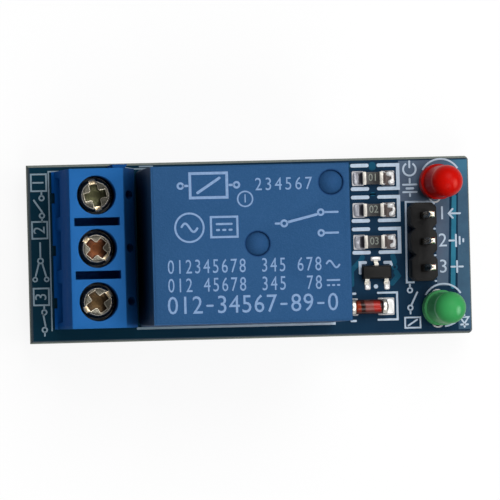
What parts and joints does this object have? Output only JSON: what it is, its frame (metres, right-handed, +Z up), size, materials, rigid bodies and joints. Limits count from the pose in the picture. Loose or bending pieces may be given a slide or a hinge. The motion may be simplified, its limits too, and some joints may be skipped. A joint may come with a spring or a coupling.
{
  "type": "relay module board",
  "caption": "Relay board: screw terminal block with clamp screws, changeover relay with its mechanism, driver chips, indicator lamps and pin header.",
  "frame": {"origin": "centre of the bounding box at its base, on the surface that the pin ends stand on", "axes": "+Z up from the board's component side; +X along the board from the terminal block to the header; +Y across the board"},
  "size_m": [0.0432, 0.0174, 0.0192],
  "materials": {
    "board": "glass-epoxy board under a glossy blue solder mask",
    "terminal_plastic": "moulded blue nylon",
    "tinned_brass": "tinned brass and copper strip",
    "spring_steel": "bright spring steel",
    "screw_steel": "zinc-plated steel, lightly tarnished",
    "relay_plastic": "moulded blue cover with a fine matt surface",
    "base_plastic": "black moulded base",
    "bobbin_plastic": "ivory moulding",
    "copper_wire": "enamelled copper wire",
    "iron": "plated soft iron",
    "contact_copper": "copper alloy strip with silver contacts",
    "chip": "black chip ceramic and moulding",
    "diode_glass": "red-brown glass",
    "red_lens": "diffusing red epoxy",
    "green_lens": "diffusing green epoxy",
    "header_plastic": "black glass-filled plastic",
    "pin_metal": "flash-gilt square pins",
    "solder": "bright tin solder"
  },
  "bodies": {
    "board": {"pcb": "board", "terminal_housing": "terminal_plastic", "terminal_frame_1": "tinned_brass", "terminal_frame_2": "tinned_brass", "terminal_frame_3": "tinned_brass", "relay_cover": "relay_plastic", "relay_base": "base_plastic", "relay_bobbin": "bobbin_plastic", "relay_winding": "copper_wire", "relay_core": "iron", "relay_yoke": "iron", "relay_common_pin": "contact_copper", "relay_open_contact": "contact_copper", "relay_closed_contact": "contact_copper", "relay_coil_pins": "tinned_brass", "resistor_1": "chip", "resistor_2": "chip", "resistor_3": "chip", "transistor_body": "chip", "transistor_leads": "tinned_brass", "diode_glass": "diode_glass", "diode_caps": "tinned_brass", "led_red_lens": "red_lens", "led_red_anode": "tinned_brass", "led_red_cathode": "tinned_brass", "led_green_lens": "green_lens", "led_green_anode": "tinned_brass", "led_green_cathode": "tinned_brass", "header_base": "header_plastic", "header_pin_1": "pin_metal", "header_pin_2": "pin_metal", "header_pin_3": "pin_metal", "solder_terminal": "solder", "solder_relay": "solder", "solder_header": "solder", "solder_leds": "solder", "solder_chips": "solder"},
    "guard_1": {"wire_guard_1": "spring_steel"},
    "screw_1": {"terminal_screw_1": "screw_steel"},
    "guard_2": {"wire_guard_2": "spring_steel"},
    "screw_2": {"terminal_screw_2": "screw_steel"},
    "guard_3": {"wire_guard_3": "spring_steel"},
    "screw_3": {"terminal_screw_3": "screw_steel"},
    "armature": {"relay_armature": "iron", "relay_contact_spring": "contact_copper"}
  },
  "joints": [
    {"name": "guard_slide_1", "type": "slide", "parent": "board", "child": "guard_1", "axis": [0, 0, 1], "range_m": [-0.00225, 0]},
    {"name": "screw_turn_1", "type": "hinge", "parent": "guard_1", "child": "screw_1", "pos_m": [-0.01568, 0.0054, 0.011], "axis": [0, 0, 1], "range_deg": [-1800, 0]},
    {"name": "guard_slide_2", "type": "slide", "parent": "board", "child": "guard_2", "axis": [0, 0, 1], "range_m": [-0.00225, 0]},
    {"name": "screw_turn_2", "type": "hinge", "parent": "guard_2", "child": "screw_2", "pos_m": [-0.01568, 0.00032, 0.011], "axis": [0, 0, 1], "range_deg": [-1800, 0]},
    {"name": "guard_slide_3", "type": "slide", "parent": "board", "child": "guard_3", "axis": [0, 0, 1], "range_m": [-0.00225, 0]},
    {"name": "screw_turn_3", "type": "hinge", "parent": "guard_3", "child": "screw_3", "pos_m": [-0.01568, -0.00476, 0.011], "axis": [0, 0, 1], "range_deg": [-1800, 0]},
    {"name": "armature_hinge", "type": "hinge", "parent": "board", "child": "armature", "pos_m": [0.0066, 0.00032, 0.01415], "axis": [0, -1, 0], "range_deg": [0, 3.5], "stiffness_Nm_per_rad": 0.01, "springref_deg": -5.73}
  ],
  "couplings": [
    {"joint": "screw_turn_1", "follows": "guard_slide_1", "rad_per_m": 13963},
    {"joint": "screw_turn_2", "follows": "guard_slide_2", "rad_per_m": 13963},
    {"joint": "screw_turn_3", "follows": "guard_slide_3", "rad_per_m": 13963}
  ]
}
